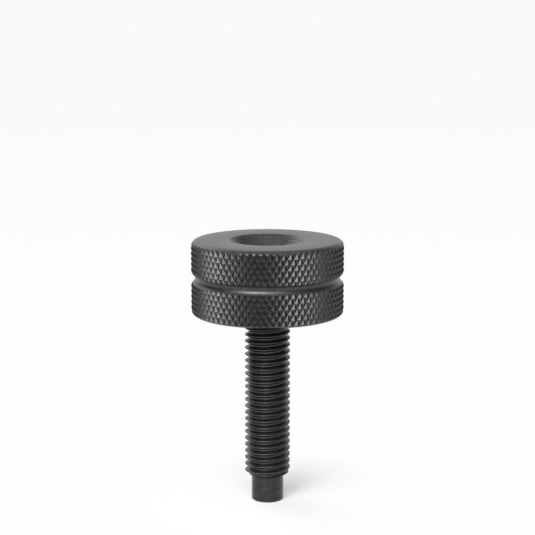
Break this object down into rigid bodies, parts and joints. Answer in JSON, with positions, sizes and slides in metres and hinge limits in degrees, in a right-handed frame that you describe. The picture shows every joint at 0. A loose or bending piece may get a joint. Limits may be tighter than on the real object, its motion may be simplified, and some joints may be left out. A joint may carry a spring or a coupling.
{
  "type": "threaded handwheel",
  "caption": "Knurled handwheel with a finger groove, a conical recess in its top and a threaded spindle that ends in a plain dog point.",
  "frame": {"origin": "centre of the spindle's end face, where the dog point stands", "axes": "+Z along the axis, from the dog point up to the wheel; +X and +Y are square to it"},
  "size_m": [0.0398, 0.0398, 0.0699],
  "materials": {
    "blackened_steel": "satin blackened steel"
  },
  "bodies": {
    "root": {"handwheel": "blackened_steel"}
  },
  "joints": []
}
